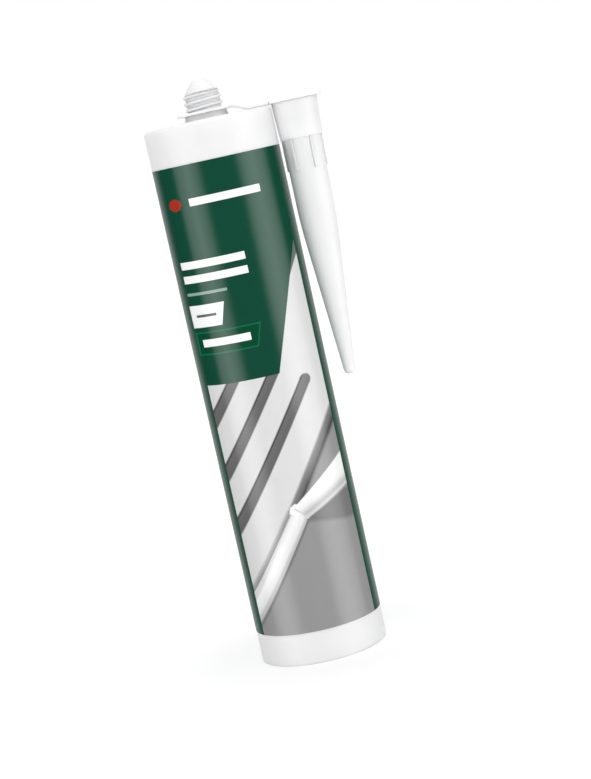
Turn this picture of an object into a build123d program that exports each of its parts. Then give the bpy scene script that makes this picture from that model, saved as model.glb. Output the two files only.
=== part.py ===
from build123d import *
import os
from math import cos, radians, sin

os.makedirs("parts", exist_ok=True)

# A caulk tube: a cartridge of sealant with its piston, label and spare nozzle. Sizes are in millimetres.
# The origin is the centre of the open tail. +Z runs up the barrel to the neck, and +X points to the nozzle.

# ---- Barrel ----
barrel_diameter = 50.0
barrel_length = 212.0  # from the tail rim to the face of the shoulder
barrel_wall = 1.6
shoulder_thickness = 2.0
shoulder_edge_radius = 1.5
shoulder_inside_radius = 1.0
tail_lead_in_length = 10.0
tail_lead_in_step = 0.3  # how far the lead-in is wider than the bore, on the radius
tail_rim_radius = 0.4

# ---- Neck ----
thread_pitch = 2.5
thread_crest_radius = 7.4
thread_depth = 0.8
thread_root_width = 1.4
thread_crest_width = 0.7
thread_fade_slope = 0.5  # rise against radius where a thread grows out of its wall
thread_sink = 0.2  # how deep a thread is rooted in its wall
neck_flare_height = 2.5
neck_ledge_width = 0.6  # the flare's flat top, beyond the thread's crest, which carries the nozzle's ring
neck_flare_width = 0.75
neck_thread_height = 5.7  # of full thread, above the ring
neck_cone_height = 6.0
neck_tip_radius = 2.6
neck_tip_rounding = 0.4
neck_wall = 1.8
neck_bore_end_radius = 1.0
neck_tip_wall = 2.0

# ---- Hanging plate: ring, strap and flange of the nozzle moulding ----
plate_thickness = 1.0
ring_width = 4.05  # from its hole to its edge
strap_width = 9.0
strap_bend_distance = 1.25  # from the foot of the neck's flare
strap_bend_length = 7.0
strap_bend_radius = 4.0
flange_width = 2.1  # beyond the collar
plate_edge_radius = 0.3
flange_fillet_radius = 0.5  # under the flange, round the collar

# ---- Nozzle ----
collar_top_wall = 1.3  # outside the thread's root
collar_foot_wall = 0.65
collar_length = 15.8  # from the top of the flange
collar_foot_rounding = 0.2
sleeve_step = 0.65  # how far it stands in from the collar's foot
sleeve_taper = 0.35
sleeve_length = 33.0  # nearly straight stretch between the collar and the cone
sleeve_blend_radius = 150.0
cone_length = 60.6
cone_end_radius = 2.1
cone_end_roundness = 0.95  # share of the cone's end radius that is rounded off
nozzle_wall = 1.1
nozzle_tip_length = 3.0  # solid end, which the user cuts off
nozzle_thread_start = 1.5  # plain mouth above the collar's thread
nozzle_thread_end = 1.5  # plain bore below it
nozzle_lean = 0.6  # degrees: the cone's tip hangs in towards the barrel
rib_count = 6
rib_length = 12.2
rib_width = 1.2
rib_height = 0.4  # beyond the top of the sleeve
rib_start_angle = -6.5  # degrees from +X, round the nozzle's axis

# ---- Piston ----
piston_margin = 0.5  # between the piston and the lead-in below it
piston_length = 18.0
piston_wall = 1.2
piston_crown_thickness = 1.6
piston_lip_width = 3.0
piston_relief = 0.6
piston_crown_chamfer = 1.0

# ---- Label ----
label_thickness = 0.1
label_top_margin = 15.1  # bare barrel between the label and the shoulder's face
label_foot_margin = 12.5  # bare barrel below the label
label_overlap_width = 8.0

# ---- Clearances ----
piston_fit = 0.05  # running fit in the bore, on the radius
fill_clearance = 0.1
ring_side_clearance = 0.35
ring_top_clearance = 0.3
shoulder_clearance = 0.4  # under the strap and the flange
barrel_side_clearance = 0.3  # between the barrel and the collar
thread_clearance = 0.2

# ---- Worked out from the sizes above ----
barrel_radius = barrel_diameter / 2
bore_radius = barrel_radius - barrel_wall
lead_in_radius = bore_radius + tail_lead_in_step
bore_top = barrel_length - shoulder_thickness
label_radius = barrel_radius + label_thickness
label_height = barrel_length - label_top_margin - label_foot_margin

ring_bottom = barrel_length + neck_flare_height
ring_top = ring_bottom + plate_thickness
thread_root_radius = thread_crest_radius - thread_depth
ring_hole_radius = thread_root_radius + ring_side_clearance
ring_radius = ring_hole_radius + ring_width
neck_ledge_radius = thread_crest_radius + neck_ledge_width
neck_flare_foot_radius = neck_ledge_radius + neck_flare_width
neck_bore_radius = thread_root_radius - neck_wall
neck_thread_bottom = ring_top + ring_top_clearance
neck_thread_top = neck_thread_bottom + neck_thread_height
neck_top = neck_thread_top + neck_cone_height
neck_cone_width = thread_crest_radius - neck_tip_radius
neck_thread_fade = thread_fade_slope * (neck_flare_foot_radius - thread_root_radius)

piston_radius = bore_radius - piston_fit
piston_relief_radius = piston_radius - piston_relief
fill_radius = bore_radius - fill_clearance
piston_foot = tail_lead_in_length + piston_margin
piston_top = piston_foot + piston_length
piston_lip_foot = piston_top - piston_crown_chamfer - piston_lip_width
fill_height = bore_top - piston_top

flange_bottom = barrel_length + shoulder_clearance
flange_top = flange_bottom + plate_thickness
strap_bend_start = neck_flare_foot_radius + strap_bend_distance
nozzle_root_radius = thread_crest_radius + thread_clearance
collar_top_radius = nozzle_root_radius + collar_top_wall
collar_foot_radius = nozzle_root_radius + collar_foot_wall
flange_radius = collar_top_radius + flange_width
nozzle_offset = barrel_radius + barrel_side_clearance + collar_top_radius
sleeve_top_radius = collar_foot_radius - sleeve_step
sleeve_foot_radius = sleeve_top_radius - sleeve_taper
rib_outer_radius = sleeve_top_radius + rib_height
nozzle_thread_length = neck_thread_height + thread_pitch
sleeve_foot = -collar_length - sleeve_length
cone_foot = sleeve_foot - cone_length
nozzle_tilt = radians(nozzle_lean)
nozzle_bore_foot = -nozzle_thread_start - nozzle_thread_length - nozzle_thread_end
nozzle_mouth = Plane(
    origin=(nozzle_offset, 0, flange_top),
    x_dir=(cos(nozzle_tilt), 0, -sin(nozzle_tilt)),
    z_dir=(sin(nozzle_tilt), 0, cos(nozzle_tilt)),
)
nozzle_side = Plane(origin=nozzle_mouth.origin, x_dir=nozzle_mouth.x_dir, z_dir=-nozzle_mouth.y_dir)
nozzle_axis = Axis(nozzle_mouth.origin, nozzle_mouth.z_dir)


def outline(*corners):
    """Draw a closed outline from corners, each an x, a y and the radius that rounds it."""
    points = [(x, y) for x, y, radius in corners]
    FilletPolyline(*points, radius=[radius for x, y, radius in corners], close=True)


def thread_ridge(start_plane, wall_radius, height, side):
    """Sweep a thread up a wall: side is 1 on the outside of a neck and -1 on the inside of a collar."""
    with BuildPart() as ridge:
        with BuildLine() as path:
            Helix(thread_pitch, height, wall_radius, start_plane.origin, start_plane.z_dir)
        start = path.line @ 0
        with BuildSketch(Plane(origin=start, x_dir=start - start_plane.origin, z_dir=path.line % 0)):
            with BuildLine():
                Polyline(
                    (-side * thread_sink, -thread_root_width / 2),
                    (0, -thread_root_width / 2),
                    (side * thread_depth, -thread_crest_width / 2),
                    (side * thread_depth, thread_crest_width / 2),
                    (0, thread_root_width / 2),
                    (-side * thread_sink, thread_root_width / 2),
                    close=True,
                )
            make_face()
        sweep(path=path.line, is_frenet=True)
    return ridge.part


# ---- Neck thread: the swept ridge, cut by a cone at its foot so that it fades in above the ring ----
neck_thread_plane = Plane.XY.offset(neck_thread_bottom - thread_root_width / 2)
neck_ridge = thread_ridge(neck_thread_plane, thread_root_radius, neck_thread_height + 2 * thread_pitch, 1)
with BuildPart() as neck_thread:
    add(neck_ridge)
    with BuildSketch(Plane.XZ):
        with BuildLine():
            outline(
                (0, neck_thread_bottom, 0),
                (thread_root_radius, neck_thread_bottom, 0),
                (neck_flare_foot_radius, neck_thread_bottom + neck_thread_fade, 0),
                (neck_flare_foot_radius, 2 * neck_top, 0),
                (0, 2 * neck_top, 0),
            )
        make_face()
    revolve(axis=Axis.Z, mode=Mode.INTERSECT)

# ---- Cartridge: barrel, shoulder, threaded neck and closed tip, moulded as one piece ----
with BuildPart() as cartridge:
    with BuildSketch(Plane.XZ):
        with BuildLine():
            outline(
                (0, neck_top, 0),
                (thread_root_radius, neck_top, 0),
                (thread_root_radius, ring_bottom, 0),
                (neck_ledge_radius, ring_bottom, 0),
                (neck_flare_foot_radius, barrel_length, 0),
                (barrel_radius, barrel_length, shoulder_edge_radius),
                (barrel_radius, 0, tail_rim_radius),
                (lead_in_radius, 0, 0),
                (lead_in_radius, tail_lead_in_length, 0),
                (bore_radius, tail_lead_in_length + tail_lead_in_step, 0),
                (bore_radius, bore_top, shoulder_inside_radius),
                (neck_bore_radius, bore_top, 0),
                (neck_bore_radius, neck_thread_top, 0),
                (neck_bore_end_radius, neck_top - neck_tip_wall, 0),
                (0, neck_top - neck_tip_wall, 0),
            )
        make_face()
    revolve(axis=Axis.Z)
    add(neck_thread.part)
    # The tip's cone, turned after the thread, so that the thread runs out on it
    with BuildSketch(Plane.XZ):
        with BuildLine():
            outline(
                (neck_tip_radius, neck_top, 0),
                (neck_tip_radius + 2 * neck_cone_width, neck_top - 2 * neck_cone_height, 0),
                (neck_tip_radius + 2 * neck_cone_width, 2 * neck_top, 0),
                (neck_tip_radius, 2 * neck_top, 0),
            )
        make_face()
    revolve(axis=Axis.Z, mode=Mode.SUBTRACT)
    fillet(cartridge.edges().sort_by(Axis.Z)[-1], neck_tip_rounding)
cartridge.part.label = "cartridge"
export_step(cartridge.part, "parts/cartridge.step")

# ---- Label: a film wrapped once round the barrel, its ends overlapping at the back ----
with BuildPart() as label:
    with BuildSketch(Plane.XY.offset(label_foot_margin)):
        Circle(label_radius)
        with Locations((0, label_radius)):
            Rectangle(label_overlap_width, 4 * label_thickness)
        Circle(label_radius + label_thickness, mode=Mode.INTERSECT)
        Circle(barrel_radius, mode=Mode.SUBTRACT)
    extrude(amount=label_height)
label.part.label = "label"
export_step(label.part, "parts/label.step")

# ---- Piston: a cup open to the tail, with a sealing lip at each end of its wall ----
with BuildPart() as piston:
    with BuildSketch(Plane.XZ):
        with BuildLine():
            outline(
                (0, piston_top, 0),
                (piston_radius - piston_crown_chamfer, piston_top, 0),
                (piston_radius, piston_top - piston_crown_chamfer, 0),
                (piston_radius, piston_lip_foot, 0),
                (piston_relief_radius, piston_lip_foot - piston_relief, 0),
                (piston_relief_radius, piston_foot + piston_lip_width + piston_relief, 0),
                (piston_radius, piston_foot + piston_lip_width, 0),
                (piston_radius, piston_foot, 0),
                (piston_relief_radius - piston_wall, piston_foot, 0),
                (piston_relief_radius - piston_wall, piston_top - piston_crown_thickness, piston_wall),
                (0, piston_top - piston_crown_thickness, 0),
            )
        make_face()
    revolve(axis=Axis.Z)
piston.part.label = "piston"
export_step(piston.part, "parts/piston.step")

# ---- Sealant: the fill, from the piston's crown to the shoulder ----
with BuildPart() as sealant:
    with BuildSketch(Plane.XY.offset(piston_top)):
        Circle(fill_radius)
    extrude(amount=fill_height)
    fillet(sealant.edges().sort_by(Axis.Z)[-1], shoulder_inside_radius)
sealant.part.label = "sealant"
export_step(sealant.part, "parts/sealant.step")

# ---- Nozzle thread: a ridge of the same section, inside the collar ----
nozzle_thread_plane = nozzle_mouth.offset(-nozzle_thread_start - nozzle_thread_length)
nozzle_ridge = thread_ridge(nozzle_thread_plane, nozzle_root_radius, nozzle_thread_length, -1)

# ---- Hanging plate: its bent side view, cut to its plan ----
with BuildPart() as plate:
    with BuildSketch(Plane.XZ):
        with BuildLine():
            FilletPolyline(
                (-2 * ring_radius, ring_bottom + plate_thickness / 2),
                (strap_bend_start, ring_bottom + plate_thickness / 2),
                (strap_bend_start + strap_bend_length, flange_bottom + plate_thickness / 2),
                (nozzle_offset + 2 * flange_radius, flange_bottom + plate_thickness / 2),
                radius=strap_bend_radius,
            )
            offset(amount=plate_thickness / 2, side=Side.BOTH)
        make_face()
    extrude(amount=2 * ring_radius, both=True)
    with BuildSketch():
        Circle(ring_radius)
        with Locations((nozzle_offset / 2, 0)):
            Rectangle(nozzle_offset, strap_width)
        with Locations((nozzle_offset, 0)):
            Circle(flange_radius)
        Circle(ring_hole_radius, mode=Mode.SUBTRACT)
    extrude(amount=2 * barrel_length, mode=Mode.INTERSECT)
    fillet(plate.edges(), plate_edge_radius)

# ---- Spare nozzle: ring, strap, flange, collar, ribs and closed cone, moulded as one piece ----
with BuildPart() as nozzle:
    add(plate.part)
    with BuildSketch(nozzle_side):
        with BuildLine():
            outline(
                (0, -plate_thickness / 2, 0),
                (collar_top_radius, -plate_thickness / 2, 0),
                (collar_foot_radius, -collar_length, collar_foot_rounding),
                (sleeve_top_radius, -collar_length, 0),
                (sleeve_foot_radius, sleeve_foot, sleeve_blend_radius),
                (cone_end_radius, cone_foot, 0),
                (0, cone_foot, 0),
            )
        make_face()
    revolve(axis=nozzle_axis)
    fillet(nozzle.edges(Select.NEW), flange_fillet_radius)
    fillet(nozzle.edges().sort_by(nozzle_axis)[0], cone_end_radius * cone_end_roundness)
    # Ribs that grip the fingers, below the collar
    with BuildSketch(nozzle_mouth.offset(-collar_length - rib_length)):
        with PolarLocations(0, rib_count, start_angle=rib_start_angle):
            Rectangle(rib_outer_radius, rib_width, align=(Align.MIN, Align.CENTER))
    extrude(amount=rib_length + collar_foot_rounding)
    # The way through, from the mouth to the solid tip
    with BuildSketch(nozzle_side):
        with BuildLine():
            outline(
                (0, plate_thickness, 0),
                (nozzle_root_radius, plate_thickness, 0),
                (nozzle_root_radius, nozzle_bore_foot, 0),
                (sleeve_top_radius - nozzle_wall, nozzle_bore_foot - nozzle_wall, 0),
                (sleeve_foot_radius - nozzle_wall, sleeve_foot, sleeve_blend_radius),
                (cone_end_radius - nozzle_wall, cone_foot + nozzle_tip_length, 0),
                (0, cone_foot + nozzle_tip_length, 0),
            )
        make_face()
    revolve(axis=nozzle_axis, mode=Mode.SUBTRACT)
    add(nozzle_ridge)
nozzle.part.label = "nozzle"
export_step(nozzle.part, "parts/nozzle.step")
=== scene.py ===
import math

import bmesh
import bpy
from bpy.props import FloatProperty, FloatVectorProperty, IntProperty, PointerProperty
from mathutils import Matrix, Vector


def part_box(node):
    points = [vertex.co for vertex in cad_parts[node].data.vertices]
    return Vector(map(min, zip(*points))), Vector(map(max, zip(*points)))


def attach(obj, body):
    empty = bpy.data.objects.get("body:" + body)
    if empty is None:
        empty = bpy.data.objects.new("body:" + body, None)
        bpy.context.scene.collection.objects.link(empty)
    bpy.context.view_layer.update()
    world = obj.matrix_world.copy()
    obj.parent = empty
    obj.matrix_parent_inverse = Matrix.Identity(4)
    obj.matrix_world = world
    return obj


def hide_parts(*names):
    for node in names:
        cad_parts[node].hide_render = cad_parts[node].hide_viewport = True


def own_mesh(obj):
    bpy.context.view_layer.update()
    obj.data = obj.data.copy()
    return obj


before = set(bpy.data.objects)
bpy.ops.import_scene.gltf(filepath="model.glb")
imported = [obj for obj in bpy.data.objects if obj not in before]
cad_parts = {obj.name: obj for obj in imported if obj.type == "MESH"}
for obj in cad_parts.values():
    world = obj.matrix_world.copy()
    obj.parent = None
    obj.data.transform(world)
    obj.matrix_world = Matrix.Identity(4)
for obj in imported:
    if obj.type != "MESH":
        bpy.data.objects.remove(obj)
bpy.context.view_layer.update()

bl_info = {
    "name": "Caulk Tube",
    "version": (1, 0, 0),
    "blender": (4, 5, 0),
    "location": "3D View > Sidebar > Caulk Tube",
    "description": "Models a cartridge of sealant with its label, piston and spare nozzle",
    "category": "Object",
}

MM = 0.001


def linear(colour):
    """Turn an sRGB hex colour into linear red, green, blue and alpha."""
    channels = [int(colour[place : place + 2], 16) / 255 for place in (1, 3, 5)]
    return tuple(c / 12.92 if c <= 0.04045 else ((c + 0.055) / 1.055) ** 2.4 for c in channels) + (1.0,)


def length(name, description, default):
    """A size in metres that the user can change."""
    return FloatProperty(name=name, description=description, default=default, unit="LENGTH", precision=5)


def colour(name, description, default):
    """A colour that the user can change, from its sRGB hex value."""
    return FloatVectorProperty(
        name=name, description=description, default=linear(default), size=4, subtype="COLOR", min=0, max=1
    )


cartridge_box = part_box("cartridge")
label_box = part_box("label")
nozzle_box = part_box("nozzle")
piston_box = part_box("piston")
sealant_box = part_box("sealant")


class CartridgeSizes(bpy.types.PropertyGroup):
    """Sizes of the barrel, its neck and what it holds."""

    barrel_radius: length("Barrel radius", "Outside of the barrel", cartridge_box[1].x)
    barrel_length: length("Barrel length", "From the tail to the shoulder's face", 212 * MM)
    barrel_wall: length("Barrel wall", "Thickness of the barrel's wall", 1.6 * MM)
    shoulder_thickness: length("Shoulder thickness", "Thickness of the closed end", 2 * MM)
    shoulder_rounding: length("Shoulder rounding", "Radius of the shoulder's edge", 1.5 * MM)
    lead_in_length: length("Lead-in length", "Wider part of the bore at the tail", 10 * MM)
    lead_in_step: length("Lead-in step", "How far the lead-in is wider than the bore", 0.3 * MM)
    neck_top: length("Neck top", "Height of the neck's closed tip", cartridge_box[1].z)
    neck_tip_radius: length("Neck tip radius", "Radius of the neck's closed tip", 2.6 * MM)
    neck_bore_radius: length("Neck bore radius", "Radius of the way through the neck", 4.8 * MM)
    flare_height: length("Flare height", "Height of the neck's foot", 2.5 * MM)
    flare_foot_radius: length("Flare foot radius", "Radius of the neck's foot", 8.75 * MM)
    flare_ledge_radius: length("Flare ledge radius", "Radius of the ledge that carries the ring", 8 * MM)
    thread_crest_radius: length("Thread crest radius", "Outside of the neck's thread", 7.4 * MM)
    thread_root_radius: length("Thread root radius", "Wall between the thread's turns", 6.6 * MM)
    thread_pitch: length("Thread pitch", "Rise of the thread in one turn", 2.5 * MM)
    thread_start: length("Thread start", "Height where the thread begins", 215.8 * MM)
    cone_start: length("Cone start", "Height where the tip's cone meets the thread's crest", 221.5 * MM)
    piston_foot: length("Piston foot", "Height of the piston's open end", piston_box[0].z)
    piston_top: length("Piston top", "Height of the piston's crown", piston_box[1].z)
    piston_radius: length("Piston radius", "Outside of the piston's lips", piston_box[1].x)
    piston_relief: length("Piston relief", "How far the wall stands in between the lips", 0.6 * MM)
    sealant_radius: length("Sealant radius", "Outside of the fill", sealant_box[1].x)


class LabelSizes(bpy.types.PropertyGroup):
    """Sizes of the wrapped label and of the picture that is printed on its front."""

    radius: length("Label radius", "Outside of the label's film", label_box[1].x)
    foot: length("Label foot", "Height of the label's lower edge", label_box[0].z)
    top: length("Label top", "Height of the label's upper edge", label_box[1].z)
    thickness: length("Film thickness", "Thickness of the label's film", 0.1 * MM)
    overlap_width: length("Overlap width", "How far the film's ends overlap at the back", 8 * MM)
    picture_half_width: length("Picture half width", "From the middle to the picture's side", 22.1 * MM)
    picture_foot: length("Picture foot", "Height of the picture's lower edge", 12.5 * MM)
    block_foot: length("Block foot", "Height of the dark block's lower edge", 112.8 * MM)
    stripe_width: length("Stripe width", "Width of a slanted stripe", 4.2 * MM)
    stripe_pitch: length("Stripe pitch", "Distance between stripes, measured level", 15.3 * MM)
    stripe_slope: FloatProperty(name="Stripe slope", description="Rise of a stripe", default=1.39)
    stripe_count: IntProperty(name="Stripe count", description="How many stripes are printed", default=4)


class NozzleSizes(bpy.types.PropertyGroup):
    """Sizes of the spare nozzle and of the plate that it hangs from."""

    distance: length("Nozzle distance", "From the barrel's axis to the nozzle's", 34.2 * MM)
    mouth: length("Mouth height", "Height of the flange's face", 213.4 * MM)
    lean: FloatProperty(
        name="Lean", description="How far the tip leans in", default=math.radians(0.6), subtype="ANGLE"
    )
    plate_thickness: length("Plate thickness", "Thickness of the ring, strap and flange", 1 * MM)
    plate_rounding: length("Plate rounding", "Radius of the plate's edges", 0.3 * MM)
    ring_foot: length("Ring foot", "Height of the ring's underside", 214.5 * MM)
    ring_radius: length("Ring radius", "Outside of the ring", 11 * MM)
    ring_hole_radius: length("Ring hole radius", "Hole that the neck stands in", 6.95 * MM)
    strap_width: length("Strap width", "Width of the strap", 9 * MM)
    strap_bend_start: length("Strap bend start", "Where the strap begins to step down", 10 * MM)
    strap_bend_end: length("Strap bend end", "Where the strap is level again", 17 * MM)
    flange_radius: length("Flange radius", "Outside of the flange", 11 * MM)
    bore_radius: length("Bore radius", "Inside of the collar", 7.6 * MM)
    collar_top_radius: length("Collar top radius", "Collar under the flange", 8.9 * MM)
    collar_foot_radius: length("Collar foot radius", "Collar at its lower edge", 8.25 * MM)
    collar_length: length("Collar length", "From the mouth to the collar's lower edge", 15.8 * MM)
    sleeve_top_radius: length("Sleeve top radius", "Below the collar", 7.6 * MM)
    sleeve_foot_radius: length("Sleeve foot radius", "Where the cone begins", 7.25 * MM)
    sleeve_length: length("Sleeve length", "Nearly straight stretch", 33 * MM)
    cone_length: length("Cone length", "From the sleeve to the closed tip", 60.6 * MM)
    cone_tip_radius: length("Cone tip radius", "Radius of the closed tip", 2.1 * MM)
    wall: length("Nozzle wall", "Thickness of the sleeve and cone", 1.1 * MM)
    rib_count: IntProperty(name="Rib count", description="Ribs round the sleeve", default=6)
    rib_radius: length("Rib radius", "Outside of the ribs", 8 * MM)
    rib_width: length("Rib width", "Width of a rib", 1.2 * MM)
    rib_length: length("Rib length", "Length of a rib below the collar", 12.2 * MM)


class TubeColours(bpy.types.PropertyGroup):
    """Colours of the plastics, the paste and the inks."""

    polyethylene: colour("Polyethylene", "Barrel, neck and nozzle", "#EDEDEE")
    piston_plastic: colour("Piston plastic", "Piston", "#E9EAE6")
    paste: colour("Paste", "Sealant in the barrel", "#F1F1EE")
    green: colour("Green ink", "Block, borders and back of the label", "#104836")
    bright_green: colour("Bright green ink", "Thin outline on the block", "#0D6B4B")
    panel: colour("Panel ink", "Pale ground of the picture", "#D8D8D8")
    paper_white: colour("White", "Bead in the picture and plain bars", "#F8F8F8")
    accent: colour("Accent ink", "Small round mark on the block", "#A8301E")
    floor: colour("Floor", "Plain floor under the tube", "#FBFBFB")


class StudioSettings(bpy.types.PropertyGroup):
    """Camera and light."""

    camera_distance: length("Camera distance", "From the tube's axis to the camera", 788.4 * MM)
    camera_height: length("Camera height", "Height of the camera", 198 * MM)
    camera_pitch: FloatProperty(
        name="Camera pitch", description="Looks down", default=math.radians(6.906), subtype="ANGLE"
    )
    camera_yaw: FloatProperty(
        name="Camera yaw", description="Looks to the side", default=math.radians(0.778), subtype="ANGLE"
    )
    camera_roll: FloatProperty(
        name="Camera roll", description="Leans to the side", default=math.radians(12.5), subtype="ANGLE"
    )
    camera_lens: FloatProperty(name="Lens", description="Focal length in millimetres", default=93.93)
    box_light: FloatProperty(name="Soft boxes", description="Brightness of the soft boxes", default=2.8)
    rear_light: FloatProperty(name="Rear", description="Brightness behind the tube", default=0.55)
    room_light: FloatProperty(name="Room", description="Brightness of the room", default=1.3)
    left_light: FloatProperty(name="Left", description="Brightness of the room's left", default=0.42)
    right_light: FloatProperty(name="Right", description="Brightness of the room's right", default=0.8)
    key_light: FloatProperty(name="Key", description="Brightness of the soft key light", default=0.25)
    fill_light: FloatProperty(name="Fill", description="Brightness of the nozzle's fill", default=0.6)


# ---- Modelling helpers ----
def deselect_all():
    """Leave edit mode and deselect every object, because operators act on all that is selected."""
    if bpy.context.object and bpy.context.object.mode != "OBJECT":
        bpy.ops.object.mode_set(mode="OBJECT")
    bpy.ops.object.select_all(action="DESELECT")


def make_active(piece):
    """Select one object alone and make it the active one."""
    deselect_all()
    piece.select_set(True)
    bpy.context.view_layer.objects.active = piece


def select_edges(piece, wanted):
    """Select the edges of a piece in edit mode whose two ends both pass a test of their place."""
    bpy.ops.mesh.select_mode(type="EDGE")
    bpy.ops.mesh.select_all(action="DESELECT")
    shape = bmesh.from_edit_mesh(piece.data)
    chosen = [edge for edge in shape.edges if all(wanted(corner.co) for corner in edge.verts)]
    if not chosen:
        raise RuntimeError(f"{piece.name} has no edge at the place asked for")
    for edge in chosen:
        edge.select = True
    shape.select_flush(True)
    bmesh.update_edit_mesh(piece.data)


def select_faces(piece, wanted):
    """Select the faces of a piece in edit mode whose centre and normal pass a test."""
    bpy.ops.mesh.select_mode(type="FACE")
    bpy.ops.mesh.select_all(action="DESELECT")
    shape = bmesh.from_edit_mesh(piece.data)
    chosen = [face for face in shape.faces if wanted(face.calc_center_median(), face.normal)]
    if not chosen:
        raise RuntimeError(f"{piece.name} has no face at the place asked for")
    for face in chosen:
        face.select = True
    bmesh.update_edit_mesh(piece.data)


def turn(name, outline, segments):
    """Turn an outline of radius and height round Z: a ring is extruded from corner to corner.

    An end of the outline on the axis is closed in a point. Where neither is, the last ring meets the first.
    """
    deselect_all()
    starts_on_axis = outline[0][0] == 0
    ends_on_axis = outline[-1][0] == 0
    rings = outline[1:] if starts_on_axis else list(outline)
    rings = rings[:-1] if ends_on_axis else rings
    if not starts_on_axis:
        rings.append(rings[0])
    radius, height = rings[0]
    bpy.ops.mesh.primitive_circle_add(vertices=segments, radius=radius, location=(0, 0, height))
    piece = bpy.context.active_object
    piece.name = name
    piece.data.name = name
    bpy.ops.object.transform_apply(location=True, rotation=True, scale=True)
    bpy.ops.object.mode_set(mode="EDIT")
    bpy.ops.mesh.select_mode(type="VERT")
    bpy.ops.mesh.select_all(action="SELECT")
    for next_radius, next_height in rings[1:]:
        bpy.ops.mesh.extrude_edges_move(TRANSFORM_OT_translate={"value": (0, 0, next_height - height)})
        grow = next_radius / radius
        bpy.ops.transform.resize(value=(grow, grow, 1), center_override=(0, 0, next_height))
        radius, height = next_radius, next_height
    if ends_on_axis:
        bpy.ops.mesh.extrude_edges_move(TRANSFORM_OT_translate={"value": (0, 0, outline[-1][1] - height)})
        bpy.ops.mesh.merge(type="CENTER")
    if starts_on_axis:
        first_radius, first_height = rings[0]
        bpy.ops.mesh.select_all(action="DESELECT")
        bpy.ops.mesh.select_mode(type="EDGE")
        bpy.ops.mesh.select_non_manifold(
            extend=False, use_wire=False, use_boundary=True, use_multi_face=False,
            use_non_contiguous=False, use_verts=False,
        )
        bpy.ops.mesh.extrude_edges_move(
            TRANSFORM_OT_translate={"value": (0, 0, outline[0][1] - first_height)}
        )
        bpy.ops.mesh.merge(type="CENTER")
    bpy.ops.mesh.select_all(action="SELECT")
    bpy.ops.mesh.remove_doubles(threshold=0.0005 * MM)
    bpy.ops.mesh.normals_make_consistent(inside=False)
    bpy.ops.object.mode_set(mode="OBJECT")
    return piece


def round_ring(piece, radius, height, width, segments):
    """Bevel the ring of edges at a radius and height."""
    make_active(piece)
    bpy.ops.object.mode_set(mode="EDIT")
    near = 0.002 * MM
    select_edges(piece, lambda at: abs(math.hypot(at.x, at.y) - radius) < near and abs(at.z - height) < near)
    bpy.ops.mesh.bevel(offset=width, segments=segments, profile=0.5, affect="EDGES", clamp_overlap=True)
    bpy.ops.object.mode_set(mode="OBJECT")


def apply_modifier(piece, kind, **settings):
    """Add a modifier to a piece with its settings and apply it."""
    make_active(piece)
    modifier = piece.modifiers.new(kind.title(), kind)
    for name, value in settings.items():
        setattr(modifier, name, value)
    bpy.ops.object.modifier_apply(modifier=modifier.name)
    if not piece.data.polygons:
        raise RuntimeError(f"{piece.name} has nothing left after its {kind.lower()} modifier")


def combine(piece, other, operation):
    """Join, cut or keep the common part of two closed solids, and remove the second."""
    apply_modifier(piece, "BOOLEAN", operation=operation, object=other, solver="EXACT")
    bpy.data.objects.remove(other)


def join(piece, others):
    """Make several objects one piece."""
    make_active(piece)
    for other in others:
        other.select_set(True)
    bpy.ops.object.join()
    return piece


def place(piece, location=(0, 0, 0), rotation=(0, 0, 0)):
    """Turn and move a piece, and put its place into its mesh."""
    make_active(piece)
    piece.rotation_euler = rotation
    piece.location = location
    bpy.ops.object.transform_apply(location=True, rotation=True, scale=True)


def finish_piece(piece, material, body, node):
    """Smooth a piece, give it its material, and let it stand for its CAD node."""
    make_active(piece)
    bpy.ops.object.shade_smooth_by_angle(angle=math.radians(32))
    piece.data.materials.clear()
    piece.data.materials.append(material)
    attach(piece, body)
    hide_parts(node)


def thread_ridge(name, wall_radius, side, pitch, start, rise):
    """Wind a thread's ridge round Z. Side is 1 on the outside of a wall and -1 on the inside of one."""
    sink = 0.2 * MM
    depth = 0.8 * MM
    root_width = 1.575 * MM
    crest_share = 0.7 / 1.575
    deselect_all()
    middle = wall_radius + side * (depth - sink) / 2
    bpy.ops.mesh.primitive_plane_add(size=1, location=(middle, 0, start), rotation=(math.pi / 2, 0, 0))
    ridge = bpy.context.active_object
    ridge.name = name
    ridge.scale = (depth + sink, root_width, 1)
    bpy.ops.object.transform_apply(location=True, rotation=True, scale=True)
    bpy.ops.object.mode_set(mode="EDIT")
    select_edges(ridge, lambda at: side * (at.x - middle) > 0)
    bpy.ops.transform.resize(value=(1, 1, crest_share), center_override=(middle, 0, start))
    bpy.ops.mesh.bevel(offset=0.22 * MM, segments=3, affect="VERTICES")
    bpy.ops.mesh.select_all(action="SELECT")
    bpy.ops.mesh.delete(type="ONLY_FACE")
    bpy.ops.object.mode_set(mode="OBJECT")
    turns = rise / pitch
    steps = round(turns * 72)
    modifier = ridge.modifiers.new("Screw", "SCREW")
    modifier.axis = "Z"
    modifier.angle = 2 * math.pi * turns
    modifier.screw_offset = rise
    modifier.steps = steps
    modifier.render_steps = steps
    bpy.ops.object.modifier_apply(modifier=modifier.name)
    bpy.ops.object.mode_set(mode="EDIT")
    bpy.ops.mesh.select_all(action="SELECT")
    bpy.ops.mesh.fill_holes(sides=4)
    bpy.ops.mesh.normals_make_consistent(inside=False)
    bpy.ops.object.mode_set(mode="OBJECT")
    return ridge


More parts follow.
